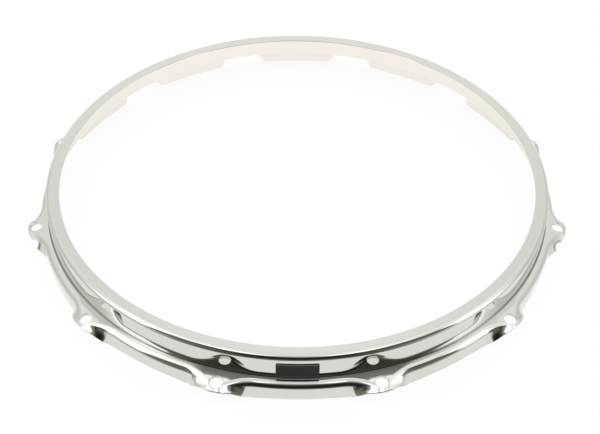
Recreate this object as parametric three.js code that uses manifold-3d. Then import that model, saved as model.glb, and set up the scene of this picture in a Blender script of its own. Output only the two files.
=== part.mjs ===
// A hoop that holds the head of a 14-inch drum down on its shell, pressed from one strip of steel.
// The origin is the middle of the ring, at the height of the skirt's lower edge. +Z is up,
// and the badge faces -Y, half way between two of the ears that the tension rods pass through.
import * as THREE from 'three';
import { mergeVertices } from 'three/addons/utils/BufferGeometryUtils.js';
import Module from 'manifold-3d';

// Driving dimensions, in millimetres and degrees
const sheet = 2.3; // thickness of the steel, the same all over
const hoopHeight = 32.1; // from the skirt's lower edge to the crest of the top bend
const wallRadius = 189.5; // outer face of the upright wall, whose inner face clears the head's own hoop
const topFlangeReach = 10.1; // from the wall's outer face in to the edge that presses the head
const topFlangeTilt = 10; // the top flange slopes down towards its edge by this many degrees
const topBendInside = 0.9; // inside radius of the bend between wall and top flange
const ledgeHeight = 13.6; // top face of the ears and of the ledge that joins them
const ledgeReach = 6.8; // from the wall's outer face out to the skirt's outer face
const footFillet = 1.4; // hollow corner between wall and ledge
const skirtBendInside = 2.2; // inside radius of the bend between ledge and skirt

const earCount = 12;
const rodOffset = 10; // from the wall's outer face out to the middle of a tension rod
const rodHoleDiameter = 8.4;
const noseMargin = 6.2; // from the middle of a tension rod out to the ear's nose
const earWidth = 15.2; // across the nose, corners included
const earCornerInside = 0.4; // radius of the bend line round a corner of the nose
const earFlare = 26; // hollow radius, seen from above, where the ear's side runs out into the skirt
const noseTurn = 14; // the nose turns down by this many degrees, and the skirt by a right angle
const turnStart = 4; // distance from the nose's middle, along the rim, where the lip starts to turn down more
const mostlyTurned = 21; // distance where it has made most of that turn
const turnEnd = 40; // distance where it has turned all the way and is skirt
const earlyTurnShare = 0.88; // of the turn that the lip makes after the nose, what comes before mostlyTurned
const lipLossShare = 1.22; // what the lip is shorter than the skirt, as a share of how far its rim stands out

const badgeWidth = 27.4;
const badgeHeight = 11.6;
const badgeThickness = 0.6;
const badgeClearance = 1.5; // from the top of the hollow corner up to the badge's lower edge
const adhesiveThickness = 0.25;
const adhesiveInset = 0.8; // the adhesive film ends this far inside the badge's outline
const seatGap = 0.2; // between the wall and the film, and between the film and the badge

const overrun = 2; // how far a cutter goes past the face that it cuts

// Counts
const pitchSteps = 8; // facets of the wall and the top flange for each ear
const noseSteps = 1;
const cornerSteps = 3;
const flareSteps = 4;
const skirtSteps = 2;
const bendSteps = 3;
const filletSteps = 2;
const holeSides = 24;
const badgeSteps = 6;

// Sizes that follow from the ones above
const degree = Math.PI / 180;
const rightAngle = 90 * degree;
const pitch = 360 * degree / earCount;
const topBend = topBendInside + sheet;
const skirtBend = skirtBendInside + sheet;
const skirtRadius = wallRadius + ledgeReach;
const rodCircle = wallRadius + rodOffset;
const earReach = rodCircle + noseMargin;
const footRadius = Math.min(footFillet, ledgeReach - skirtBend);
const skirtDepth = ledgeHeight - skirtBend;
const badgeBase = ledgeHeight + footRadius + badgeClearance;
const adhesiveRadius = wallRadius + seatGap;
const badgeRadius = adhesiveRadius + adhesiveThickness + seatGap;

// The rim of one ear, seen from above, from the middle of its nose to half way to the next ear.
// The plan's y axis runs from the ring's middle through the ear. The rim is a straight nose,
// a round corner, a hollow flare that touches the skirt's circle, and a stretch of that circle.
function earRim() {
  const cornerRadius = earCornerInside + skirtBend;
  const corner = new THREE.Vector2(earWidth / 2 - cornerRadius, earReach - cornerRadius);
  const flare = flareCentre(corner, cornerRadius);
  const flareStart = angleFromAxis(flare.clone().sub(corner));
  const flareEnd = angleFromAxis(flare);
  const middle = new THREE.Vector2();
  const stations = [];
  let run = 0;
  const add = (centre, radius, angle) => {
    const outward = new THREE.Vector2(Math.sin(angle), Math.cos(angle));
    const point = outward.clone().multiplyScalar(radius).add(centre);
    if (stations.length > 0) run += point.distanceTo(stations.at(-1).point);
    stations.push({ point, outward, run });
  };
  for (let i = 0; i < noseSteps; i++) {
    add(new THREE.Vector2(corner.x * i / noseSteps, corner.y), cornerRadius, 0);
  }
  for (let i = 0; i < cornerSteps; i++) {
    add(corner, cornerRadius, flareStart * i / cornerSteps);
  }
  for (let i = 0; i < flareSteps; i++) {
    add(flare, -earFlare, THREE.MathUtils.lerp(flareStart, flareEnd, i / flareSteps));
  }
  for (let i = 0; i <= skirtSteps; i++) {
    add(middle, skirtRadius, THREE.MathUtils.lerp(flareEnd, pitch / 2, i / skirtSteps));
  }
  return stations;
}

// Middle of the flare's circle, which touches both the nose's corner and the skirt's circle
function flareCentre(corner, cornerRadius) {
  const toMiddle = skirtRadius + earFlare;
  const toCorner = cornerRadius + earFlare;
  const across = corner.length();
  const cosine = (toMiddle ** 2 + across ** 2 - toCorner ** 2) / (2 * toMiddle * across);
  const angle = angleFromAxis(corner) + Math.acos(cosine);
  return new THREE.Vector2(Math.sin(angle), Math.cos(angle)).multiplyScalar(toMiddle);
}

function angleFromAxis(point) {
  return Math.atan2(point.x, point.y);
}

// Stations all round the ring, starting half way between two ears, at the front
function ringStations() {
  const half = earRim();
  const mirrored = half.slice(1).reverse().map(({ point, outward, run }) => ({
    point: new THREE.Vector2(-point.x, point.y),
    outward: new THREE.Vector2(-outward.x, outward.y),
    run,
  }));
  const oneEar = [...mirrored, ...half.slice(0, -1)];
  const stations = [];
  for (let ear = 0; ear < earCount; ear++) {
    const axis = (ear + 0.5) * pitch;
    for (const { point, outward, run } of oneEar) {
      stations.push({
        angle: axis + angleFromAxis(point),
        rim: turned(point, axis),
        outward: turned(outward, axis),
        run,
      });
    }
  }
  return stations;
}

// A plan point, or direction, of an ear on the ring's front axis, carried round to the ear's own axis
function turned(point, axis) {
  return new THREE.Vector2(point.x, -point.y).rotateAround(new THREE.Vector2(), axis);
}

function onCircle(radius, angle, height) {
  return new THREE.Vector3(radius * Math.sin(angle), -radius * Math.cos(angle), height);
}

// Rings of points on one face of the sheet, depth 0 for the outer face and one sheet for the inner face,
// from the edge of the top flange down to the top of the wall
function topRings(depth) {
  const tilt = topFlangeTilt * degree;
  const count = earCount * pitchSteps;
  const turns = Array.from({ length: count }, (_, i) => i / count);
  const bendRadius = topBend - depth;
  const onBend = (angle) => [
    wallRadius - topBend + bendRadius * Math.cos(angle), hoopHeight - topBend + bendRadius * Math.sin(angle),
  ];
  const flangeLength = (topFlangeReach - topBend - topBend * Math.sin(tilt)) / Math.cos(tilt);
  const [rootRadius, rootHeight] = onBend(rightAngle + tilt);
  const profile = [
    [rootRadius - flangeLength * Math.cos(tilt), rootHeight - flangeLength * Math.sin(tilt)],
    [rootRadius, rootHeight],
  ];
  for (let i = bendSteps; i >= 0; i--) profile.push(onBend(rightAngle * i / bendSteps));
  return profile.map(([radius, height]) => ({
    turns, points: turns.map((turn) => onCircle(radius, turn * 2 * Math.PI, height)),
  }));
}

// The same for the foot of the wall, the ledge with its ears, the bend and the skirt or lip below it
function lowerRings(stations, depth) {
  const turns = stations.map(({ angle }) => angle / (2 * Math.PI));
  const columns = stations.map((station) => [...footColumn(station, depth), ...lipColumn(station, depth)]);
  return columns[0].map((_, row) => ({ turns, points: columns.map((column) => column[row]) }));
}

function footColumn({ angle }, depth) {
  const column = [];
  for (let i = 0; i <= filletSteps; i++) {
    const bend = rightAngle * i / filletSteps;
    const radius = wallRadius + footRadius - (footRadius + depth) * Math.cos(bend);
    const height = ledgeHeight + footRadius - (footRadius + depth) * Math.sin(bend);
    column.push(onCircle(radius, angle, height));
  }
  return column;
}

// How far the lip turns down at this distance along the rim: a little at the nose, soon most of the way,
// and by a right angle at the skirt
function lipTurn(run) {
  const early = THREE.MathUtils.smoothstep(run, turnStart, mostlyTurned);
  const late = THREE.MathUtils.smoothstep(run, mostlyTurned, turnEnd);
  const along = earlyTurnShare * early + (1 - earlyTurnShare) * late;
  return THREE.MathUtils.lerp(noseTurn * degree, rightAngle, along);
}

// The sheet was cut as a plain disc, so the further the rim stands out, the less is left of the lip
function lipColumn({ rim, outward, run }, depth) {
  const turnDown = lipTurn(run);
  const skirtLength = skirtBend * rightAngle + skirtDepth;
  const length = skirtLength - lipLossShare * (rim.length() - skirtRadius);
  const straight = length - skirtBend * turnDown;
  const radius = skirtBend - depth;
  const across = (distance, drop) => {
    const plan = outward.clone().multiplyScalar(distance - skirtBend).add(rim);
    return new THREE.Vector3(plan.x, plan.y, skirtDepth - drop);
  };
  const column = [];
  for (let i = 0; i <= bendSteps; i++) {
    const bend = turnDown * i / bendSteps;
    column.push(across(radius * Math.sin(bend), -radius * Math.cos(bend)));
  }
  column.push(across(
    radius * Math.sin(turnDown) + straight * Math.cos(turnDown),
    straight * Math.sin(turnDown) - radius * Math.cos(turnDown),
  ));
  return column;
}

// Triangles between two rings that run the same way round. Their counts may differ:
// each triangle moves on along the ring whose next point comes first.
function stitch(upper, lower, index) {
  const next = (ring, i) => ring.turns[i + 1] ?? (i < ring.turns.length ? 1 : Infinity);
  const vertex = (ring, i) => ring.first + i % ring.turns.length;
  let i = 0;
  let j = 0;
  while (i < upper.turns.length || j < lower.turns.length) {
    const alongLower = next(lower, j) <= next(upper, i);
    const last = alongLower ? vertex(lower, j + 1) : vertex(upper, i + 1);
    index.push(vertex(upper, i), vertex(lower, j), last);
    if (alongLower) j++;
    else i++;
  }
}

// The whole sheet as one closed surface: down the outer face, round the lower edge and up the inner face
function pressedSheet() {
  const stations = ringStations();
  const outer = [...topRings(0), ...lowerRings(stations, 0)];
  const inner = [...topRings(sheet), ...lowerRings(stations, sheet)];
  const rings = [...outer, ...inner.reverse()];
  const positions = [];
  for (const ring of rings) {
    ring.first = positions.length / 3;
    for (const point of ring.points) positions.push(...point.toArray());
  }
  const index = [];
  rings.forEach((ring, i) => stitch(ring, rings[(i + 1) % rings.length], index));
  const geometry = new THREE.BufferGeometry();
  geometry.setAttribute('position', new THREE.Float32BufferAttribute(positions, 3));
  geometry.setIndex(index);
  return geometry;
}

function rodHoleCutter(ear) {
  const depth = sheet + 2 * overrun;
  const cutter = new THREE.CylinderGeometry(rodHoleDiameter / 2, rodHoleDiameter / 2, depth, holeSides);
  cutter.rotateX(rightAngle);
  const place = onCircle(rodCircle, (ear + 0.5) * pitch, ledgeHeight - sheet / 2);
  return cutter.translate(...place.toArray());
}

const wasm = await Module();
wasm.setup();

function asSolid(geometry) {
  const bare = geometry.clone();
  bare.deleteAttribute('normal');
  bare.deleteAttribute('uv');
  const merged = mergeVertices(bare);
  return new wasm.Manifold(new wasm.Mesh({
    numProp: 3,
    vertProperties: new Float32Array(merged.attributes.position.array),
    triVerts: new Uint32Array(merged.index.array),
  }));
}

function asGeometry(solid) {
  const { vertProperties, triVerts } = solid.getMesh();
  const geometry = new THREE.BufferGeometry();
  geometry.setAttribute('position', new THREE.Float32BufferAttribute(vertProperties, 3));
  geometry.setIndex([...triVerts]);
  geometry.computeVertexNormals();
  return geometry;
}

function hoop() {
  let solid = asSolid(pressedSheet());
  for (let ear = 0; ear < earCount; ear++) solid = solid.subtract(asSolid(rodHoleCutter(ear)));
  return asGeometry(solid);
}

// A plate that follows the wall, standing on its lower edge, in the middle of the front
function wallPlate(innerRadius, thickness, width, base, height) {
  const half = width / 2 / innerRadius;
  const outerRadius = innerRadius + thickness;
  const outline = new THREE.Shape();
  outline.absarc(0, 0, innerRadius, -rightAngle - half, -rightAngle + half, false);
  outline.absarc(0, 0, outerRadius, -rightAngle + half, -rightAngle - half, true);
  const extrusion = { depth: height, bevelEnabled: false, curveSegments: badgeSteps };
  return new THREE.ExtrudeGeometry(outline, extrusion).translate(0, 0, base);
}

function badgeAdhesive() {
  const width = badgeWidth - 2 * adhesiveInset;
  const height = badgeHeight - 2 * adhesiveInset;
  return wallPlate(adhesiveRadius, adhesiveThickness, width, badgeBase + adhesiveInset, height);
}

function badgePlate() {
  return wallPlate(badgeRadius, badgeThickness, badgeWidth, badgeBase, badgeHeight);
}

function piece(name, geometry, material) {
  const mesh = new THREE.Mesh(geometry, new THREE.MeshStandardMaterial(material));
  mesh.name = name;
  return mesh;
}

const drumHoop = new THREE.Group();
drumHoop.add(
  piece('hoop', hoop(), { color: 0xc9cac6, roughness: 0.08, metalness: 1 }),
  piece('badge_adhesive', badgeAdhesive(), { color: 0xd8d6cf, roughness: 0.7, metalness: 0 }),
  piece('badge_plate', badgePlate(), { color: 0x141513, roughness: 0.4, metalness: 0 }),
);

export default drumHoop;
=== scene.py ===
# %% [markdown]
# A chromed drum hoop, built as a lesson in cells.
#
# The hoop holds the head of a drum down on its shell. It is one strip of steel, pressed so that it has
# a flange at the top, an upright wall, a narrow ledge and a skirt. Twelve flat ears stand out of the skirt,
# and tension rods pull down through their holes. A small badge sits on the wall.
#
# Chrome hides nothing: it shows the studio, and every error of the surface. So this lesson spends its effort
# on three things: a surface whose normals come from a formula, a plating that is almost but not quite
# perfect, and a studio worth reflecting. The lengths are in metres.

# %% The packed model is the frame that everything is built around
import math

import bmesh
import bpy
import numpy as np
from mathutils import Matrix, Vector
from mathutils.bvhtree import BVHTree
from mathutils.interpolate import poly_3d_calc


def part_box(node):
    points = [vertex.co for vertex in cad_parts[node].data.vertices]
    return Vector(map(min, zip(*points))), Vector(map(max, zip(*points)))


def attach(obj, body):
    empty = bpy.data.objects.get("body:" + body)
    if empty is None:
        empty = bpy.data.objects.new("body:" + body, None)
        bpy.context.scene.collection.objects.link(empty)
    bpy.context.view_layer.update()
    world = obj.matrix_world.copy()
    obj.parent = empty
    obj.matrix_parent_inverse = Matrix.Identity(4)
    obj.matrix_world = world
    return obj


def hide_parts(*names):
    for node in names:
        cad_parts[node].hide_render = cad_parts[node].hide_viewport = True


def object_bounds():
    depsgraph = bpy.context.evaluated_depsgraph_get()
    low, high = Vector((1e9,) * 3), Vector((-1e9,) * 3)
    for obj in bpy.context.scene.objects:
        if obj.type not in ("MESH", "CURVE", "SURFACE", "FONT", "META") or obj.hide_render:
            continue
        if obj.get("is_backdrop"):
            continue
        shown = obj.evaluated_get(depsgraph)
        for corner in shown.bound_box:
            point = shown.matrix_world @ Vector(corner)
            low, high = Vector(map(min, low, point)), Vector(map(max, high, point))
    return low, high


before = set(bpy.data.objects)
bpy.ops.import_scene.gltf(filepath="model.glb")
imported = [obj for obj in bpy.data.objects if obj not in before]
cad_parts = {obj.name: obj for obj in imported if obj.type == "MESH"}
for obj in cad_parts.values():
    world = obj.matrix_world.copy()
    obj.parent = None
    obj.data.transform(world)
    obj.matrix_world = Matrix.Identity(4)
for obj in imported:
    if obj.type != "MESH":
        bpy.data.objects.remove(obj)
cad_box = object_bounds()
scene = bpy.context.scene
scene.view_settings.view_transform = "Standard"
print("the packed model spans", [round(high - low, 4) for low, high in zip(*cad_box)])

# %% [markdown]
# The camera comes first, because everything later is judged through it. The photo was taken from the front,
# looking down at about 42 degrees from 0.7 metres away. Lens and place were found by fitting the circles of
# the hoop to the photo. The camera is built from three directions: to its right, up, and back, away from the
# hoop. In the photo the hoop is turned by less than a degree, so the camera walks round it instead.

# %% The camera
photo_width = 600
sensor_width = 36
focal_length_in_pixels = 882.5
camera_distance = 0.69935
camera_elevation = math.radians(42.417)
camera_roll = math.radians(0.663)
camera_turn = math.radians(-0.842)
aim_right = 0.0022
aim_up = -0.0180

back = np.array([0, -math.cos(camera_elevation), math.sin(camera_elevation)])
right = np.array([1, 0, 0])
up = np.cross(back, right)
place = aim_right * right + aim_up * up + camera_distance * back
rolled_right = math.cos(camera_roll) * right + math.sin(camera_roll) * up
rolled_up = math.cos(camera_roll) * up - math.sin(camera_roll) * right
pose = Matrix.Identity(4)
for column, direction in enumerate((rolled_right, rolled_up, back, place)):
    for row in range(3):
        pose[row][column] = direction[row]

camera = bpy.data.objects.new("camera", bpy.data.cameras.new("camera"))
scene.collection.objects.link(camera)
scene.camera = camera
camera.data.sensor_fit = "HORIZONTAL"
camera.data.sensor_width = sensor_width
camera.data.lens = focal_length_in_pixels * sensor_width / photo_width
camera.matrix_world = Matrix.Rotation(camera_turn, 4, "Z") @ pose
print("camera at", [round(c, 3) for c in camera.matrix_world.translation], "lens", round(camera.data.lens, 2))

# %% [markdown]
# A hoop is measured across its section, so its sizes are those of the section: how far each fold lies from
# the wall, and how tightly the sheet is bent there. A bend is given by its inside radius, as a press is.
# The outside radius is one thickness of sheet larger. The height is the packed hoop's, the sheet is the usual
# one for such hoops, and the other sizes were measured in the photo.

# %% The sizes of the section
mm = 0.001
degree = math.pi / 180
right_angle = 90 * degree

hoop_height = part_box("hoop")[1].z
sheet = 2.3 * mm
wall_radius = 189.6 * mm
wall_lean = 2.4 * degree
top_flange_reach = 10.2 * mm
top_flange_tilt = 10 * degree
top_bend_inside = 0.9 * mm
ledge_height = 13.35 * mm
ledge_reach = 7.1 * mm
foot_fillet = 0.4 * mm
skirt_bend_inside = 2.4 * mm
edge_round = 0.5 * mm

top_bend = top_bend_inside + sheet
skirt_bend = skirt_bend_inside + sheet
skirt_radius = wall_radius + ledge_reach
skirt_depth = ledge_height - skirt_bend
print("wall", round(2 * wall_radius / mm, 1), "mm across, skirt", round(2 * skirt_radius / mm, 1), "mm")

# %% [markdown]
# Seen from above, the rim of an ear is a straight nose, a round corner, a hollow flare and a stretch of the
# skirt's circle. Each piece touches the next without a kink, because a kink would show as a broken
# reflection. The flare's middle is found like the third corner of a triangle whose three sides are known.
#
# Each point of the rim keeps the direction that it faces, and how far along the rim it is from the nose.

# %% The sizes of an ear
ear_count = 12
ear_pitch = 2 * math.pi / ear_count
rod_offset = 9.9 * mm
nose_margin = 6.05 * mm
ear_width = 15.2 * mm
ear_corner_inside = 0.4 * mm
ear_flare = 32 * mm

rod_circle = wall_radius + rod_offset
ear_reach = rod_circle + nose_margin
ear_corner = ear_corner_inside + skirt_bend
print("rod circle", round(2 * rod_circle / mm, 1), "mm across, noses", round(2 * ear_reach / mm, 1), "mm")

# %% The rim of one ear, seen from above
nose_steps, corner_steps, flare_steps, skirt_steps = 4, 9, 16, 10


def arc(centre, radius, start, end, steps):
    """Points on an arc but for its last, and the directions they face. In a hollow the radius is negative."""
    angle = np.linspace(start, end, steps, endpoint=False)
    facing = np.stack([np.sin(angle), np.cos(angle)], axis=1)
    return centre + radius * facing, facing


def angle_from_axis(point):
    """How far a place or a direction is turned away from the middle of the ear, seen from above."""
    return math.atan2(point[0], point[1])


def half_ear_rim():
    """From the middle of the nose to half way to the next ear. The ear points along the second axis."""
    corner = np.array([ear_width / 2, ear_reach]) - ear_corner
    to_middle, to_corner, across = skirt_radius + ear_flare, ear_corner + ear_flare, np.linalg.norm(corner)
    cosine = (to_middle**2 + across**2 - to_corner**2) / (2 * to_middle * across)
    swing = angle_from_axis(corner) + math.acos(cosine)
    flare = to_middle * np.array([math.sin(swing), math.cos(swing)])
    meet = angle_from_axis(flare - corner)
    along_nose = np.linspace(0, corner[0], nose_steps, endpoint=False)
    nose = np.column_stack([along_nose, np.full(nose_steps, ear_reach)])
    runs = [
        (nose, np.tile([0.0, 1.0], (nose_steps, 1))),
        arc(corner, ear_corner, 0, meet, corner_steps),
        arc(flare, -ear_flare, meet, swing, flare_steps),
        arc(np.zeros(2), skirt_radius, swing, ear_pitch / 2, skirt_steps),
        arc(np.zeros(2), skirt_radius, ear_pitch / 2, ear_pitch / 2, 1),
    ]
    points = np.concatenate([run[0] for run in runs])
    facing = np.concatenate([run[1] for run in runs])
    lengths = np.linalg.norm(np.diff(points, axis=0), axis=1)
    return points, facing, np.concatenate([[0], np.cumsum(lengths)])


rim, rim_facing, rim_run = half_ear_rim()
print(len(rim), "points from the nose to the middle of the skirt,", round(rim_run[-1] / mm, 1), "mm of rim")

# %% [markdown]
# The whole ring repeats that half rim: mirrored for the other side of the ear, and turned for each of the
# twelve ears. The ring starts half way between two ears, at the front, where the badge is. Places and
# directions are turned, and the length along the rim is only repeated.

# %% The rim all round the ring


def whole_ear(half, mirror):
    """What belongs to each column of an ear, from its half and the factors that its mirror image takes."""
    return np.concatenate([half[:0:-1] * mirror, half[:-1]])


def turned_to_every_ear(one_ear):
    """Places or directions of one ear, seen from above, turned to each ear of the ring."""
    x, y = one_ear.T
    turned = []
    for ear in range(ear_count):
        turn = (ear + 0.5) * ear_pitch
        sine, cosine = math.sin(turn), math.cos(turn)
        turned.append(np.column_stack([x * cosine + y * sine, x * sine - y * cosine]))
    return np.concatenate(turned)


swap_sides = np.array([-1, 1])
points = turned_to_every_ear(whole_ear(rim, swap_sides))
facing = turned_to_every_ear(whole_ear(rim_facing, swap_sides))
run = np.tile(whole_ear(rim_run, 1), ear_count)
radial = points / np.linalg.norm(points, axis=1, keepdims=True)
print(len(points), "columns round the ring")

# %% [markdown]
# Across the sheet, the section is drawn like a road: straights and bends, one after the other. A section
# keeps where it is and which way the surface faces. Bending by an angle turns that facing clockwise round
# the metal, or the other way in a hollow. The same few words draw the flange, the wall, the foot and the
# lip, and because they also work on arrays, one call draws the lip of every column at once.

# %% A section that is drawn like a road


class Section:
    """Points of the section: how far out and how high each one is, and the angle at which it faces."""

    def __init__(self, out, height, facing):
        self.out, self.height, self.facing = [out], [height], [facing]

    def add(self, out, height, facing):
        self.out.append(out)
        self.height.append(height)
        self.facing.append(facing)

    def straight(self, length, steps=1):
        out, height, facing = self.out[-1], self.height[-1], self.facing[-1]
        for step in range(1, steps + 1):
            way = length * step / steps
            self.add(out + way * np.sin(facing), height - way * np.cos(facing), facing)
        return self

    def bend(self, angle, radius, steps):
        """A positive radius bends round the metal, and a negative one bends in a hollow."""
        out, height, facing = self.out[-1], self.height[-1], self.facing[-1]
        for step in range(1, steps + 1):
            turned = facing - math.copysign(1, radius) * angle * step / steps
            self.add(
                out + radius * (np.cos(turned) - np.cos(facing)),
                height + radius * (np.sin(turned) - np.sin(facing)),
                turned,
            )
        return self

    def along(self, direction, origin):
        """Points, normals and tangents in space: direction is the horizontal one of each column."""
        count = len(direction)
        out, height, facing = (np.stack([np.broadcast_to(v, count) for v in part], axis=1)
                               for part in (self.out, self.height, self.facing))
        flat = direction[:, None, :]
        place = np.concatenate([origin[:, None, :] + flat * out[..., None], height[..., None]], axis=2)
        normal = np.concatenate([flat * np.cos(facing)[..., None], np.sin(facing)[..., None]], axis=2)
        tangent = np.concatenate([flat * np.sin(facing)[..., None], -np.cos(facing)[..., None]], axis=2)
        return place, normal, tangent


# %% [markdown]
# The outer face runs from the edge of the top flange over the bend, down the wall and out along the foot.
# The inner face comes back the same way, one sheet further in: where the outer face bends round the metal,
# the inner one lies in the hollow, with a radius that is one sheet smaller. The edge of the flange is
# rounded, because sticks land on it. Bends that can't be seen from outside get fewer steps.

# %% The faces above the ledge
bend_steps, fillet_steps, edge_steps, unseen_steps = 12, 16, 3, 7
tilt_sine, tilt_cosine = math.sin(top_flange_tilt), math.cos(top_flange_tilt)
flange_straight = (top_flange_reach - top_bend * (1 + tilt_sine)) / tilt_cosine - edge_round
flange_edge = wall_radius - top_bend * (1 + tilt_sine) - flange_straight * tilt_cosine
flange_edge_height = hoop_height - top_bend * (1 - tilt_cosine) - flange_straight * tilt_sine
over_the_top = right_angle + top_flange_tilt
around_the_top, into_the_ledge = over_the_top - wall_lean, right_angle - wall_lean
wall_drop = hoop_height - ledge_height - (top_bend + foot_fillet) * (1 - math.sin(wall_lean))
wall_straight = wall_drop / math.cos(wall_lean)

outer_face = Section(flange_edge, flange_edge_height, over_the_top)
outer_face.straight(flange_straight, 2).bend(around_the_top, top_bend, bend_steps)
outer_face.straight(wall_straight, 2).bend(into_the_ledge, -foot_fillet, fillet_steps)

inner_face = Section(outer_face.out[-1], ledge_height - sheet, -right_angle)
inner_face.bend(into_the_ledge, foot_fillet + sheet, unseen_steps).straight(wall_straight)
inner_face.bend(around_the_top, sheet - top_bend, unseen_steps).straight(flange_straight)
inner_face.bend(right_angle, edge_round, edge_steps).straight(sheet - 2 * edge_round)
inner_face.bend(right_angle, edge_round, edge_steps)
gap = math.hypot(inner_face.out[-1] - outer_face.out[0], inner_face.height[-1] - outer_face.height[0])
print("the section closes on itself to", f"{gap:.1e}", "m")

# %% [markdown]
# Below the ledge, each column has a lip of its own. At the nose of an ear it turns down by a few degrees.
# From there it turns down faster and faster. Only the last tenth of the turn comes slowly, where the flare
# runs out into the skirt, and there the lip stands upright. The press was fed with a plain strip, so where
# the rim stands out less, more is left over for the lip, and it is longer.

# %% The lip of every column
nose_turn = 14 * degree
turned_by = 23 * mm
turn_power = 1.7
slow_share = 0.1
slow_from, slow_to = 15 * mm, 42 * mm
lip_loss = 10.9 * mm
lip_short_to = 4.5 * mm
lip_full_from = 24.5 * mm


def smoothstep(value, start, end):
    """0 up to start, 1 from end on, and a soft curve between them."""
    share = np.clip((value - start) / (end - start), 0, 1)
    return share * share * (3 - 2 * share)


fast_turn = np.clip(run / turned_by, 0, 1) ** turn_power
turn_share = (1 - slow_share) * fast_turn + slow_share * smoothstep(run, slow_from, slow_to)
turn_down = nose_turn + (right_angle - nose_turn) * turn_share
skirt_length = skirt_bend * right_angle + skirt_depth
lip_share = np.clip((run - lip_short_to) / (lip_full_from - lip_short_to), 0, 1)
lip_length = skirt_length - lip_loss * (1 - lip_share)
lip_straight = lip_length - skirt_bend * turn_down - edge_round

lip = Section(-skirt_bend, ledge_height, right_angle)
lip.bend(turn_down, skirt_bend, bend_steps).straight(lip_straight, 2)
lip.bend(right_angle, edge_round, edge_steps).straight(sheet - 2 * edge_round)
lip.bend(right_angle, edge_round, edge_steps).straight(lip_straight, 2)
lip.bend(turn_down, sheet - skirt_bend, unseen_steps)
print("the lip is", round(lip_length.min() / mm, 1), "to", round(lip_length.max() / mm, 1), "mm long")

# %% [markdown]
# The ears of a pressed hoop are never quite level: they hang down a little towards the nose. That is too
# little to see in their outline, but it decides what the mirror on top of each ear shows. The sag depends
# only on the place seen from above, so it can simply be taken off the height of every point.

# %% The sag of the ears
ear_sag = 1.15 * mm
sag_start = 2.5 * mm
sag_half_width = 5 * mm
sag_fades = 16 * mm


def sag(x, y):
    """How far the sheet hangs down at this place."""
    radius, angle = np.hypot(x, y), np.arctan2(x, -y)
    from_axis = angle - (np.floor(angle / ear_pitch) + 0.5) * ear_pitch
    beside_axis = np.abs(radius * np.sin(from_axis))
    level_to = wall_radius + sag_start
    outwards = np.clip((radius - level_to) / (ear_reach - level_to), 0, None)
    return ear_sag * outwards**2 * (1 - smoothstep(beside_axis, sag_half_width, sag_fades))


def sag_slope(place, direction):
    """How much the sag grows for each metre in that direction."""
    nudge = 0.001 * mm
    ahead = place + nudge * direction
    return (sag(ahead[..., 0], ahead[..., 1]) - sag(place[..., 0], place[..., 1])) / nudge


nose_sag = sag(ear_reach * math.sin(ear_pitch / 2), -ear_reach * math.cos(ear_pitch / 2))
print("the nose of an ear hangs down by", round(float(nose_sag) / mm, 2), "mm")

# %% [markdown]
# Now the columns become one closed surface. Its normals are worked out, not guessed from the faces: at each
# point, the direction along the section is known exactly, and the direction along the ring follows from the
# neighbours. The normal is square to both. Blender would otherwise average the flat faces round each point,
# and the flat parts of a mirror would look swollen next to each bend.

# %% The whole sheet, with exact normals
ledge_steps, ledge_underside_steps = 10, 4


def slope_round(values, run_steps):
    """Change of each column's values along the ring, from its two neighbours at their own distances."""
    before, after = run_steps[:, None, None], np.roll(run_steps, -1)[:, None, None]
    ahead, behind = np.roll(values, -1, axis=0), np.roll(values, 1, axis=0)
    return (before**2 * ahead - after**2 * behind + (after**2 - before**2) * values) / (before * after)


def across_the_ledge(before, after, up, steps):
    """Points, normals and tangents of level rings that fill the span between two parts."""
    start, end = before[0][:, -1], after[0][:, 0]
    span = end - start
    share = np.linspace(0, 1, steps + 1)[1:-1, None]
    place = start[:, None] + span[:, None] * share
    normal = np.broadcast_to([0.0, 0.0, up], place.shape)
    direction = span / np.linalg.norm(span, axis=1, keepdims=True)
    return place, normal, np.broadcast_to(direction[:, None], place.shape)


centre = np.zeros_like(points)
above, below = outer_face.along(radial, centre), inner_face.along(radial, centre)
turned_lip = lip.along(facing, points)
ledge_top = across_the_ledge(above, turned_lip, 1, ledge_steps)
ledge_underside = across_the_ledge(turned_lip, below, -1, ledge_underside_steps)
parts = [above, ledge_top, turned_lip, ledge_underside, below]
vertices, rough_normals, tangents = (np.concatenate(same, axis=1)[:, :-1] for same in zip(*parts))
tangents[..., 2] -= sag_slope(vertices, tangents)
vertices[..., 2] -= sag(vertices[..., 0], vertices[..., 1])
run_steps = np.linalg.norm(points - np.roll(points, 1, axis=0), axis=1)
normals = np.cross(slope_round(vertices, run_steps), tangents)
normals /= np.linalg.norm(normals, axis=2, keepdims=True)
normals *= np.sign((normals * rough_normals).sum(axis=2, keepdims=True))
columns, rings = vertices.shape[:2]
print(columns, "columns of", rings, "points")


def grid_mesh(name, corners):
    """A mesh of four-sided faces through a grid of points that closes on itself both ways."""
    columns, rings = corners.shape[:2]
    column, ring = np.meshgrid(np.arange(columns), np.arange(rings), indexing="ij")
    next_column, next_ring = (column + 1) % columns, (ring + 1) % rings
    quads = np.stack([
        column * rings + ring, column * rings + next_ring,
        next_column * rings + next_ring, next_column * rings + ring,
    ], axis=-1)
    mesh = bpy.data.meshes.new(name)
    mesh.from_pydata(corners.reshape(-1, 3).tolist(), [], quads.reshape(-1, 4).tolist())
    mesh.polygons.foreach_set("use_smooth", [True] * len(mesh.polygons))
    return mesh


pressed = grid_mesh("pressed_sheet", vertices)
probe = bmesh.new()
probe.from_mesh(pressed)
volume = probe.calc_volume(signed=True)
probe.free()
print(len(pressed.polygons), "faces hold", round(volume / (10 * mm) ** 3, 1), "cubic centimetres of steel")

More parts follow.
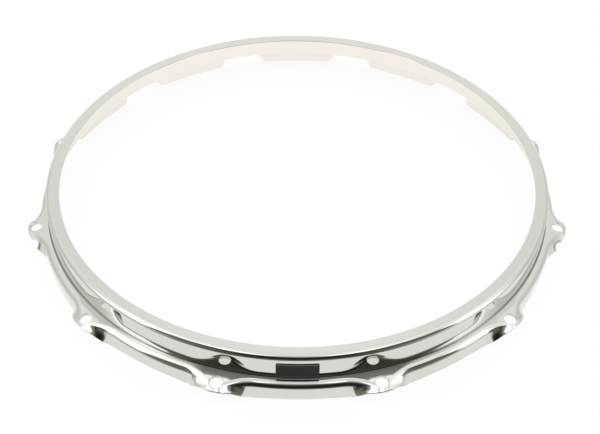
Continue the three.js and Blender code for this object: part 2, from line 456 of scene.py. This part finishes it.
# %% [markdown]
# Each rod hole is punched, so its rim is a little rounded on both sides. A boolean does the punching. Its
# cutter is turned on a lathe, and flares out where it passes the faces of the sheet, which leaves that
# rounding behind. The ear is not level, so each point of the cutter is placed by the height of the sheet
# there. All twelve cutters are one mesh, so the sheet is only cut once.

# %% The punch for the rod holes
rod_hole_radius = 4.2 * mm
hole_round = 0.4 * mm
hole_sides = 64
round_steps = 5
clear_of_face = 0.01 * mm
overrun = 2 * mm

surface = BVHTree.FromPolygons(vertices.reshape(-1, 3).tolist(), [list(p.vertices) for p in pressed.polygons])


def top_of_sheet(x, y):
    """Height of the sheet's upper face at this place, found by looking down at it."""
    return surface.ray_cast((x, y, hoop_height), (0, 0, -1))[0].z


def punch_profile():
    """Pairs of a radius and a height over the sheet's upper face, from below the sheet to above it."""
    angles = np.linspace(0, right_angle, round_steps + 1)
    radii = rod_hole_radius + hole_round * (1 - np.cos(angles))
    flare = np.column_stack([radii, hole_round * np.sin(angles)])
    top = flare + [0, clear_of_face - hole_round]
    bottom = flare[::-1] * [1, -1] + [0, hole_round - sheet - clear_of_face]
    return np.concatenate([[bottom[0] - [0, overrun]], bottom, top, [top[-1] + [0, overrun]]])


def punches():
    """Closed meshes of all the punches, in one."""
    profile = punch_profile()
    angles = np.linspace(0, 2 * math.pi, hole_sides, endpoint=False)
    made = bmesh.new()
    for ear in range(ear_count):
        turn = (ear + 0.5) * ear_pitch
        middle = rod_circle * np.array([math.sin(turn), -math.cos(turn)])
        rows = []
        for radius, rise in profile:
            circle = middle + radius * np.column_stack([np.cos(angles), np.sin(angles)])
            rows.append([made.verts.new((x, y, top_of_sheet(x, y) + rise)) for x, y in circle])
        for low, high in zip(rows, rows[1:]):
            for i in range(hole_sides):
                made.faces.new((low[i - 1], low[i], high[i], high[i - 1]))
        made.faces.new(rows[0][::-1])
        made.faces.new(rows[-1])
    mesh = bpy.data.meshes.new("punches")
    made.to_mesh(mesh)
    made.free()
    return mesh


sheet_object = bpy.data.objects.new("pressed_sheet", pressed)
punch_object = bpy.data.objects.new("punches", punches())
for piece in (sheet_object, punch_object):
    scene.collection.objects.link(piece)
punching = sheet_object.modifiers.new("punching", "BOOLEAN")
punching.operation = "DIFFERENCE"
punching.solver = "MANIFOLD"
punching.object = punch_object
evaluated = sheet_object.evaluated_get(bpy.context.evaluated_depsgraph_get())
punched = bpy.data.meshes.new_from_object(evaluated)
punched.name = "drum_hoop"
print("punched:", len(punched.vertices), "points,", len(punched.polygons), "faces")

# %% [markdown]
# The boolean made new points, which need normals too. A point on the sheet takes the exact normal of the
# spot it lies on, blended from the corners of the face that it lies in. A point inside a hole faces the
# hole's axis, and on the rounding it leans towards the face of the sheet. The outermost points of the
# rounding lie on that face, so they count as points on the sheet.

# %% Normals for the punched hoop
bpy.data.objects.remove(punch_object)
bpy.data.objects.remove(sheet_object)
corner_normals = normals.reshape(-1, 3)
rounding_share = 0.8


def normal_on_sheet(point):
    """The exact normal of the sheet at the spot nearest to this point."""
    spot, _, face, _ = surface.find_nearest(point)
    corners = list(pressed.polygons[face].vertices)
    weights = poly_3d_calc([pressed.vertices[i].co for i in corners], spot)
    blended = (np.array(weights)[:, None] * corner_normals[corners]).sum(axis=0)
    return blended / np.linalg.norm(blended)


def nearest_rod(x, y):
    """Middle of the rod hole whose ear this point belongs to."""
    ear = math.floor(math.atan2(x, -y) / ear_pitch) + 0.5
    return rod_circle * math.sin(ear * ear_pitch), -rod_circle * math.cos(ear * ear_pitch)


def normal_in_hole(x, y, z):
    """The normal inside a hole, or None outside all the holes."""
    middle = nearest_rod(x, y)
    away = np.array([x - middle[0], y - middle[1]])
    distance = np.linalg.norm(away)
    if distance > rod_hole_radius + rounding_share * hole_round or z > ledge_height:
        return None
    depth = top_of_sheet(x, y) - z
    above, below = hole_round - depth, depth - sheet + hole_round
    lean = math.asin(min(1, max(0, above / hole_round))) - math.asin(min(1, max(0, below / hole_round)))
    inward = -away / distance
    return np.array([inward[0] * math.cos(lean), inward[1] * math.cos(lean), math.sin(lean)])


hoop_normals = []
for vertex in punched.vertices:
    normal = normal_in_hole(*vertex.co)
    hoop_normals.append(normal_on_sheet(vertex.co) if normal is None else normal)
punched.normals_split_custom_set_from_vertices(hoop_normals)
hoop = bpy.data.objects.new("drum_hoop", punched)
scene.collection.objects.link(hoop)
print("normals set on", len(hoop_normals), "points")

# %% [markdown]
# The hoop is one piece. It stands in for the packed hoop, and rides on the only body that there is.

# %% The hoop takes its place
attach(hoop, "root")
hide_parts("hoop")
print("the hoop measures", [round(side / mm, 1) for side in hoop.dimensions], "mm")

# %% [markdown]
# The badge is a thin plate, stuck to the wall between the two front ears, a millimetre left of the middle. A
# box with a bevel would do for its rim, but not for its corners, which are rounder. So it is built from
# outlines instead: one rounded rectangle is laid down again and again, a little smaller and a little further
# out each time. The last two outlines leave a flat border round a plain field, which is slightly sunken.

# %% The outlines of the badge
badge_width = 27.2 * mm
badge_height = 9.9 * mm
badge_thickness = 0.6 * mm
badge_base = 16.2 * mm
badge_aside = -1 * mm
badge_gap = 0.1 * mm
badge_corner = 1.1 * mm
badge_rim = 0.18 * mm
border_width = 0.55 * mm
field_depth = 0.08 * mm
field_slope = 0.06 * mm
film_inset = 0.8 * mm
film_thickness = 0.25 * mm
corner_points, rim_points = 7, 5

badge_back = wall_radius + badge_gap


def badge_outline(inset, depth):
    """A rounded rectangle, smaller than the badge by inset on every side: across, up and outwards."""
    reach = np.array([badge_width, badge_height]) / 2 - badge_corner
    corners = []
    for quarter, (across, upward) in enumerate(((1, 1), (-1, 1), (-1, -1), (1, -1))):
        angles = np.linspace(quarter, quarter + 1, corner_points) * right_angle
        circle = np.stack([np.cos(angles), np.sin(angles)], axis=1)
        corners.append(reach * [across, upward] + (badge_corner - inset) * circle)
    flat = np.concatenate(corners)
    return np.column_stack([flat, np.full(len(flat), depth)])


badge_rings = [badge_outline(0, 0)]
for angle in np.linspace(0, right_angle, rim_points):
    inset = badge_rim * (1 - math.cos(angle))
    badge_rings.append(badge_outline(inset, badge_thickness - badge_rim * (1 - math.sin(angle))))
badge_rings.append(badge_outline(border_width, badge_thickness))
badge_rings.append(badge_outline(border_width + field_slope, badge_thickness - field_depth))
film_rings = [badge_outline(film_inset, -film_thickness), badge_outline(film_inset, 0)]
print(len(badge_rings), "outlines of", len(badge_rings[0]), "corners")

# %% [markdown]
# The plate is made flat, then cut into narrow upright strips, then bent: each strip stays flat, and together
# they follow the wall. Only the edges that turn sharply are kept sharp. Without that, the light would
# smear across the face from one rim to the other. The film of adhesive behind it is a little smaller, and is
# made the same way.

# %% The badge and its film, bent to the wall
badge_strips = 28
sharp_from = 35 * degree


def bent_to_the_wall(name, rings, replaced):
    """A closed plate through these rings, laid round the wall, in the place of a packed node."""
    plate = bmesh.new()
    rows = [[plate.verts.new(corner) for corner in ring] for ring in rings]
    for low, high in zip(rows, rows[1:]):
        for i in range(len(low)):
            plate.faces.new((low[i - 1], low[i], high[i], high[i - 1]))
    plate.faces.new(rows[0][::-1])
    plate.faces.new(rows[-1])
    for across in np.linspace(-badge_width / 2, badge_width / 2, badge_strips + 1)[1:-1]:
        everything = plate.verts[:] + plate.edges[:] + plate.faces[:]
        bmesh.ops.bisect_plane(plate, geom=everything, plane_co=(across, 0, 0), plane_no=(1, 0, 0))
    for vertex in plate.verts:
        across, upward, outwards = vertex.co
        angle = (across + badge_aside) / badge_back
        height = badge_base + badge_height / 2 + upward
        radius = badge_back + outwards + (hoop_height - height) * math.tan(wall_lean)
        vertex.co = (radius * math.sin(angle), -radius * math.cos(angle), height)
    print(name, "holds", round(plate.calc_volume(signed=True) * 1e9, 1), "cubic millimetres")
    mesh = bpy.data.meshes.new(name)
    plate.to_mesh(mesh)
    plate.free()
    mesh.shade_smooth()
    mesh.set_sharp_from_angle(angle=sharp_from)
    piece = bpy.data.objects.new(name, mesh)
    scene.collection.objects.link(piece)
    piece.modifiers.new("flat faces stay flat", "WEIGHTED_NORMAL").keep_sharp = True
    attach(piece, "root")
    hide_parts(replaced)
    return mesh


badge_mesh = bent_to_the_wall("badge", badge_rings, "badge_plate")
film_mesh = bent_to_the_wall("badge_film", film_rings, "badge_adhesive")

# %% [markdown]
# Finishes are written as sums. Nodes could be wired one by one, but then nobody sees what they work out. So
# a socket is wrapped in a small class, and adding or multiplying two of them adds a Math node.

# %% Sockets that can be added up


class Socket:
    """An output of a node, in sums with other outputs and with numbers."""

    def __init__(self, recipe, link):
        self.recipe, self.link = recipe, link

    def __add__(self, other):
        return self.recipe.maths("ADD", self, other)

    def __sub__(self, other):
        return self.recipe.maths("SUBTRACT", self, other)

    def __rsub__(self, other):
        return self.recipe.maths("SUBTRACT", other, self)

    def __mul__(self, other):
        return self.recipe.maths("MULTIPLY", self, other)

    def __truediv__(self, other):
        return self.recipe.maths("DIVIDE", self, other)

    def __rtruediv__(self, other):
        return self.recipe.maths("DIVIDE", other, self)

    def __pow__(self, other):
        return self.recipe.maths("POWER", self, other)

    def __rpow__(self, other):
        return self.recipe.maths("POWER", other, self)

    def __neg__(self):
        return 0 - self

    __radd__ = __add__
    __rmul__ = __mul__

    def beside(self, name):
        """Another output of the same node."""
        return Socket(self.recipe, self.link.node.outputs[name])


print("sums may also start with a number:", [word for word in vars(Socket) if word.startswith("__r")])

# %% [markdown]
# Every other node comes from one method, which takes the kind of node, its settings, and what goes into its
# sockets. A finish is then read from top to bottom, like a recipe. Colours are mixed and not added up,
# because a sum would turn them grey.

# %% A recipe for a finish


class Recipe:
    """The nodes of one material, or of the world."""

    def __init__(self, owner):
        owner.use_nodes = True
        self.tree = owner.node_tree
        self.tree.nodes.clear()

    def node(self, kind, settings, inputs, output=0):
        """One node of this kind. The inputs are values or other sockets, and one output is handed back."""
        made = self.tree.nodes.new(kind)
        for name, value in settings.items():
            if name == "stops":
                self.set_stops(made.color_ramp.elements, value)
            else:
                setattr(made, name, value)
        for name, value in inputs.items():
            if isinstance(value, Socket):
                self.tree.links.new(value.link, made.inputs[name])
            else:
                made.inputs[name].default_value = value
        return Socket(self, made.outputs[output]) if made.outputs else None

    def set_stops(self, elements, stops):
        while len(elements) < len(stops):
            elements.new(1)
        for element, (position, colour) in zip(elements, stops):
            element.position, element.color = position, (*colour, 1)

    def maths(self, operation, *values):
        return self.node("ShaderNodeMath", {"operation": operation}, dict(enumerate(values)))

    def rise(self, value, start, end):
        """0 up to start, 1 from end on, and a soft curve between them."""
        return self.node("ShaderNodeMapRange", {"interpolation_type": "SMOOTHSTEP"},
                         {"Value": value, "From Min": start, "From Max": end})

    def window(self, value, start, end, soft):
        """1 between start and end, with soft edges."""
        return self.rise(value, start - soft, start + soft) * (1 - self.rise(value, end - soft, end + soft))

    def blend(self, mask, under, over):
        """The colour under where the mask is 0, and over where it is 1."""
        under, over = (c if isinstance(c, Socket) else (*c, 1) for c in (under, over))
        return self.node("ShaderNodeMix", {"data_type": "RGBA"}, {0: mask, 6: under, 7: over}, output=2)

    def lay(self, ground, layers):
        """The ground with other colours laid over it one after the other, each where its mask is 1."""
        for mask, colour in layers:
            ground = self.blend(mask, ground, colour)
        return ground

    def axes(self, vector):
        """The three parts of a place or a direction."""
        first = self.node("ShaderNodeSeparateXYZ", {}, {0: vector}, "X")
        return first, first.beside("Y"), first.beside("Z")


print("a recipe knows", [word for word in dir(Recipe) if not word.startswith("_")])

# %% [markdown]
# The chrome is a thousandth of a millimetre thick over nickel and polished steel. A polished part was held
# against a turning wheel, so what is left of the grinding runs along the ring. Noise in four dimensions gives
# such streaks without a seam: two of them are the place on a circle, which is walked round slowly, and the
# other two are the height and the radius, which change fast.
#
# Chrome is not smooth at every scale. The pressed sheet is wavy over a few centimetres, by hundredths of a
# millimetre, which bends the long reflections a little. The plating itself has a skin like that of an orange.

# %% The streaks and waves of the plating
plating = bpy.data.materials.new("chrome_plate")
chrome = Recipe(plating)
place = chrome.node("ShaderNodeTexCoord", {}, {}, "Object")
x, y, z = chrome.axes(place)
radius = (x * x + y * y) ** 0.5

streak_length = 16 * mm
streak_width = 0.5 * mm
circle = chrome.node("ShaderNodeCombineXYZ", {}, {
    "X": x / radius * (wall_radius / streak_length),
    "Y": y / radius * (wall_radius / streak_length),
    "Z": z / streak_width,
})
streaks = chrome.node("ShaderNodeTexNoise", {"noise_dimensions": "4D"}, {
    "Vector": circle, "W": radius / streak_width, "Scale": 1, "Detail": 3, "Roughness": 0.6,
})
haze = chrome.node("ShaderNodeTexNoise", {}, {"Vector": place, "Scale": 28, "Detail": 2})
waves = chrome.node("ShaderNodeTexNoise", {}, {"Vector": place, "Scale": 30, "Detail": 1})
orange_skin = chrome.node("ShaderNodeTexNoise", {}, {"Vector": place, "Scale": 700, "Detail": 1})
print(len(chrome.tree.nodes), "nodes so far")

# %% [markdown]
# Only what is seen gets the last polish. The underside and the inside of the skirt go into the bath as the
# press left them, so they come out duller. They are found by the way they face: down, or inwards below
# the ledge. The narrow crease at the foot of the wall gets painted shade: its chrome is darkened, in patches,
# to stand in for the dark line that the crease shows. The crease is found by its place.

# %% The chrome itself
chrome_colour = (0.665, 0.66, 0.642)
# Painted shade: the dark colour laid on the chrome in the crease at the foot of the wall.
crease_shade_colour = (0.20, 0.21, 0.20)
hazy_colour = tuple(0.97 * part for part in chrome_colour)
polished, streaked, unpolished = 0.018, 0.022, 0.24
hidden_from, hidden_to = 0.3, 0.7
least_crease_shade, patchy_crease_shade = 0.7, 0.6
wave_height = 0.02 * mm
skin_height = 0.0003 * mm
crease_inside, crease_outside, crease_fades = 0.3 * mm, 0.35 * mm, 0.15 * mm
crease_below, crease_above, crease_fades_up = 0.5 * mm, 1 * mm, 0.2 * mm

underside = ledge_height - sheet
foot = outer_face.out[-1]
facing_out = chrome.node("ShaderNodeTexCoord", {}, {}, "Normal")
normal_x, normal_y, normal_z = chrome.axes(facing_out)
inwards = -((x * normal_x + y * normal_y) / radius)
below_ledge = 1 - chrome.rise(z, underside - sheet / 2, underside)
not_seen = chrome.rise(chrome.maths("MAXIMUM", inwards * below_ledge, -normal_z), hidden_from, hidden_to)
at_foot = chrome.window(radius, foot - crease_inside, foot + crease_outside, crease_fades)
on_ledge = chrome.window(z, ledge_height - crease_below, ledge_height + crease_above, crease_fades_up)
# Painted shade in the crease at the foot of the wall, patchy with the haze.
crease_shade = at_foot * on_ledge * (least_crease_shade + patchy_crease_shade * haze)
roughness = polished + streaked * streaks * haze + not_seen * (unpolished - polished)
bumpy = chrome.node("ShaderNodeBump", {}, {
    "Strength": 1, "Distance": wave_height, "Height": waves + orange_skin * (skin_height / wave_height),
})
surface_shader = chrome.node("ShaderNodeBsdfPrincipled", {}, {
    "Base Color": chrome.blend(crease_shade, chrome.blend(haze, chrome_colour, hazy_colour), crease_shade_colour),
    "Metallic": 1.0,
    "Roughness": roughness,
    "Normal": bumpy,
})
chrome.node("ShaderNodeOutputMaterial", {}, {"Surface": surface_shader})
punched.materials.clear()
punched.materials.append(plating)
print("the chrome has", len(chrome.tree.nodes), "nodes")

# %% [markdown]
# The badge is black enamel on metal. The enamel ends on the border, and what lies outside it is bare, which
# is the thin bright line round the badge. It is found by the distance from the outline, so it has the same
# width on all four sides.

# %% The black enamel of the badge
enamel_colour, clouded_colour = (0.028, 0.028, 0.025), (0.040, 0.039, 0.036)
bare_colour = (0.30, 0.30, 0.29)
enamel_starts, enamel_covers = 0.2 * border_width, 0.4 * border_width
enamel_roughness, grain_roughness, bare_polish = 0.3, 0.18, 0.25
grain_depth = 0.004 * mm

enamel = bpy.data.materials.new("black_badge")
black = Recipe(enamel)
place = black.node("ShaderNodeTexCoord", {}, {}, "Object")
x, y, z = black.axes(place)
across = black.maths("ABSOLUTE", black.maths("ARCTAN2", x, -y) * badge_back - badge_aside)
upward = black.maths("ABSOLUTE", z - (badge_base + badge_height / 2))
to_outline = black.maths("MINIMUM", badge_width / 2 - across, badge_height / 2 - upward)
bare_metal = 1 - black.rise(to_outline, enamel_starts, enamel_covers)
grain = black.node("ShaderNodeTexNoise", {}, {"Vector": place, "Scale": 2500, "Detail": 3})
clouding = black.node("ShaderNodeTexNoise", {}, {"Vector": place, "Scale": 180, "Detail": 2})
pitted = black.node("ShaderNodeBump", {}, {"Strength": 0.5, "Distance": grain_depth, "Height": grain})
surface_shader = black.node("ShaderNodeBsdfPrincipled", {}, {
    "Base Color": black.lay(enamel_colour, [(clouding, clouded_colour), (bare_metal, bare_colour)]),
    "Metallic": bare_metal,
    "Specular IOR Level": 0.15,
    "Roughness": enamel_roughness + grain_roughness * grain - bare_polish * bare_metal,
    "Normal": pitted,
})
black.node("ShaderNodeOutputMaterial", {}, {"Surface": surface_shader})
badge_mesh.materials.append(enamel)
print("the enamel has", len(black.tree.nodes), "nodes")

# %% [markdown]
# Behind the badge there is a film of adhesive. At most its edge can be seen. It is a soft, slightly cloudy
# off-white, and rough enough to catch no clear highlight.

# %% The adhesive film
film_colour, pale_film_colour = (0.62, 0.61, 0.57), (0.74, 0.73, 0.69)
film_roughness, cell_roughness = 0.6, 0.2
foam_depth = 0.02 * mm

film = bpy.data.materials.new("adhesive_film")
sticky = Recipe(film)
place = sticky.node("ShaderNodeTexCoord", {}, {}, "Object")
cells = sticky.node("ShaderNodeTexNoise", {}, {"Vector": place, "Scale": 1800, "Detail": 2})
clouds = sticky.node("ShaderNodeTexNoise", {}, {"Vector": place, "Scale": 160, "Detail": 2})
foamy = sticky.node("ShaderNodeBump", {}, {"Strength": 0.6, "Distance": foam_depth, "Height": cells})
surface_shader = sticky.node("ShaderNodeBsdfPrincipled", {}, {
    "Base Color": sticky.blend(clouds, film_colour, pale_film_colour),
    "Roughness": film_roughness + cell_roughness * cells,
    "Normal": foamy,
})
sticky.node("ShaderNodeOutputMaterial", {}, {"Surface": surface_shader})
film_mesh.materials.append(film)
print("the film has", len(sticky.tree.nodes), "nodes")

# %% [markdown]
# A mirror needs something to show. The hoop in the photo stands on a white table in a bright room, with soft
# lights overhead and at both sides. At the front it is dark, because the camera and the unlit part of the
# room are there. Those dark shapes make the thin black lines along every bend, and without them chrome looks
# like grey plastic.
#
# The room is painted into the world by direction. The world's own direction is turned into two angles: round
# the room, from the camera's side towards the right, and up from the horizon.

# %% The room, by direction
room_world = bpy.data.worlds.new("studio")
scene.world = room_world
room = Recipe(room_world)
toward = room.node("ShaderNodeTexCoord", {}, {}, "Generated")
x, y, z = room.axes(toward)
around = room.maths("ARCTAN2", x, -y) / degree
height = room.maths("ARCSINE", z) / degree
aside = room.maths("ABSOLUTE", around)


def stops_by_angle(pairs):
    """Ramp stops from pairs of an angle above the horizon and a colour."""
    return [((angle + 90) / 180, colour) for angle, colour in pairs]


height_share = (height + 90) / 180
walls = room.node("ShaderNodeValToRGB", {"stops": stops_by_angle([
    (-10, (0.76, 0.75, 0.71)), (10, (0.80, 0.79, 0.75)), (28, (0.90, 0.89, 0.86)), (45, (1.06, 1.05, 1.01)),
    (56, (1.14, 1.13, 1.09)), (68, (1.18, 1.18, 1.14)), (80, (1.18, 1.18, 1.15)),
])}, {0: height_share})
dark_front = room.node("ShaderNodeValToRGB", {"stops": stops_by_angle([
    (-30, (0.10, 0.11, 0.085)), (0, (0.045, 0.047, 0.040)), (14, (0.019, 0.020, 0.017)),
    (32, (0.019, 0.018, 0.016)), (42, (0.055, 0.055, 0.04)), (50, (0.11, 0.11, 0.08)),
    (54, (0.28, 0.28, 0.25)), (59, (0.38, 0.41, 0.39)), (70, (0.60, 0.60, 0.57)),
])}, {0: height_share})
print(len(room.tree.nodes), "nodes describe the room's walls")

# %% [markdown]
# The far lights and the dark parts of the room are windows with soft edges in those two angles, in degrees.
# They are laid over the walls one after the other. Brightness 1 is white paper. The lights are brighter than
# that, but small, so that the room as a whole still lights everything at a plain level. Looked at directly,
# the room is plain white.

# %% The lights and the dark side of the room
left_high = room.window(around, -128, -64, 8) * room.window(height, 55, 70, 4)
right_high = room.window(around, 90, 132, 8) * room.window(height, 48, 58, 4)
dark_corners = room.window(aside, 50, 76, 5) * (1 - room.rise(height, 44, 56))
back_low = room.rise(aside, 140, 162) * (1 - room.rise(height, 20, 38))
overhead = room.rise(height, 62, 74)
off_centre = room.rise(room.maths("ABSOLUTE", x), 0.1, 0.2)
over_the_ears = room.window(aside, 17, 66, 7) * room.window(height, 60.5, 75, 1.5)
top_of_dark = height + 8 * room.rise(aside, 8, 24)
camera_side = room.window(around, -54, 60, 6) * (1 - room.rise(top_of_dark, 68, 71))
warm_glow = 0.16 * room.rise(aside, 14, 42) * camera_side * (1 - room.rise(height, 30, 46))

reflected = room.lay(walls, [
    (left_high, (1.6, 1.6, 1.57)),
    (right_high, (1.3, 1.3, 1.27)),
    (dark_corners, (0.27, 0.25, 0.215)),
    (back_low, (1.48, 1.46, 1.42)),
    (overhead, room.blend(off_centre, (1.0, 1.0, 0.98), (1.3, 1.3, 1.28))),
    (over_the_ears, (2.1, 2.1, 2.07)),
    (camera_side, dark_front),
    (warm_glow, (1.0, 0.93, 0.80)),
])
seen_directly = room.node("ShaderNodeLightPath", {}, {}, "Is Camera Ray")
background = room.node("ShaderNodeBackground", {}, {
    "Color": room.blend(seen_directly, reflected, (1.0, 1.0, 1.0)), "Strength": 1.0,
})
room.node("ShaderNodeOutputWorld", {}, {"Surface": background})
print("the room has", len(room.tree.nodes), "nodes")

# %% [markdown]
# The lights at both sides stand close, so each ear sees them in another direction. The world can't show that,
# because it is endlessly far away. So they are upright cards, one on each side, that only the mirror sees.
# The sizes say how far each card is from the middle of the hoop, and where on it the light begins and ends.

# %% The lights at the sides
card_front, card_back, card_top = -0.42, -0.05, 0.6
fades_from, fades_to = -0.22, -0.07
front_soft, top_soft = 0.02, 0.08


def side_light(name, to_the_right, front, low, high, top, glow):
    """A lit card beside the hoop. It gets brighter from low to high, and fades at the top and at the back."""
    outline = [(card_front, 0), (card_back, 0), (card_back, card_top), (card_front, card_top)]
    mesh = bpy.data.meshes.new(name)
    mesh.from_pydata([(to_the_right, y, z) for y, z in outline], [], [(0, 1, 2, 3)])
    card = bpy.data.objects.new(name, mesh)
    scene.collection.objects.link(card)
    card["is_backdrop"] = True
    card.visible_camera = card.visible_diffuse = card.visible_shadow = False
    lit = bpy.data.materials.new(name)
    light = Recipe(lit)
    _, y, z = light.axes(light.node("ShaderNodeTexCoord", {}, {}, "Object"))
    shape = light.rise(y, front - front_soft, front + front_soft) * (1 - light.rise(y, fades_from, fades_to))
    shape = shape * light.rise(z, low, high) * (1 - light.rise(z, top - top_soft, top))
    glowing = light.node("ShaderNodeEmission", {}, {"Color": (*glow, 1), "Strength": 1.0})
    clear = light.node("ShaderNodeBsdfTransparent", {}, {})
    mixed = light.node("ShaderNodeMixShader", {}, {0: shape, 1: clear, 2: glowing})
    light.node("ShaderNodeOutputMaterial", {}, {"Surface": mixed})
    mesh.materials.append(lit)
    print(name, "has", len(light.tree.nodes), "nodes")


left_glow, right_glow = (2.1, 2.09, 2.05), (1.9, 1.9, 1.87)
side_light("left_light", to_the_right=-0.45, front=-0.37, low=0.03, high=0.16, top=0.6, glow=left_glow)
side_light("right_light", to_the_right=0.35, front=-0.29, low=0.005, high=0.05, top=0.35, glow=right_glow)

# %% [markdown]
# The table is one large plane. Looked at directly it is white, with a trace of the hoop's shadow. In the
# mirror it shows a painted reflection set by place: painted light, bright and slightly warm, inside the ring
# at the back, where it is lit from above, and painted shade, dark, in front of the ring.

# %% The table
table_half = 6
below_hoop = 0.05 * mm
inner_edge, under_ring = 200 * mm, 212 * mm
from_ring, open_table = 222 * mm, 238 * mm
far_from, far_to = 250 * mm, 450 * mm
tabletop = bmesh.new()
bmesh.ops.create_grid(tabletop, x_segments=1, y_segments=1, size=table_half)
table_mesh = bpy.data.meshes.new("table")
tabletop.to_mesh(table_mesh)
tabletop.free()
table = bpy.data.objects.new("table", table_mesh)
table.location.z = -below_hoop
scene.collection.objects.link(table)
table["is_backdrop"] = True

paper = bpy.data.materials.new("white_table")
white = Recipe(paper)
place = white.node("ShaderNodeTexCoord", {}, {}, "Object")
x, y, z = white.axes(place)
radius = (x * x + y * y) ** 0.5
around = white.maths("ARCTAN2", x, -y) / degree
aside = white.maths("ABSOLUTE", around)
inside = 1 - white.rise(radius, inner_edge, under_ring)
beyond = white.rise(radius, from_ring, open_table)
far = white.rise(radius, far_from, far_to)
at_back = white.rise(aside, 60, 150)
behind = white.rise(aside, 95, 135)
in_front = white.window(around, -38, 34, 10)

# A painted reflection for the mirror: painted light inside the ring at the back and behind it, painted shade
# in front of the ring.
reflected = white.lay((1.05, 1.035, 1.0), [
    (beyond, (0.80, 0.79, 0.76)),
    (beyond * behind, (1.46, 1.44, 1.40)),
    (inside * at_back, (1.37, 1.32, 1.26)),
    (beyond * in_front, white.blend(far, (0.21, 0.22, 0.17), (0.09, 0.095, 0.08))),
])
print("the table has", len(white.tree.nodes), "nodes so far")

# %% [markdown]
# The table answers each kind of ray in its own way. The camera sees plain white with a share of matt paper,
# and that share takes the shadow. The mirror sees what was painted above. All other rays, which carry light
# from place to place, meet matt paper.

# %% The table, seen directly and in the mirror
shadow_share = 0.12
whiteness = 1.04
paper_colour = (0.96, 0.96, 0.96, 1)

seen_directly = white.node("ShaderNodeLightPath", {}, {}, "Is Camera Ray")
seen_in_mirror = seen_directly.beside("Is Glossy Ray")
plain = white.node("ShaderNodeEmission", {}, {"Color": (1, 1, 1, 1), "Strength": whiteness})
matt = white.node("ShaderNodeBsdfDiffuse", {}, {"Color": paper_colour})
painted = white.node("ShaderNodeEmission", {}, {"Color": reflected, "Strength": 1.0})
direct = white.node("ShaderNodeMixShader", {}, {0: shadow_share, 1: plain, 2: matt})
unmirrored = white.node("ShaderNodeMixShader", {}, {0: seen_directly, 1: matt, 2: direct})
finished = white.node("ShaderNodeMixShader", {}, {0: seen_in_mirror, 1: unmirrored, 2: painted})
white.node("ShaderNodeOutputMaterial", {}, {"Surface": finished})
table_mesh.materials.append(paper)
print("the table has", len(white.tree.nodes), "nodes")

# %% [markdown]
# Last, the boxes of the packed and the dressed hoop are printed, one under the other.

# %% The sizes are written down
dressed_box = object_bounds()
for name, corners in (("packed", cad_box), ("dressed", dressed_box)):
    print(name, [[round(c / mm, 2) for c in corner] for corner in corners])
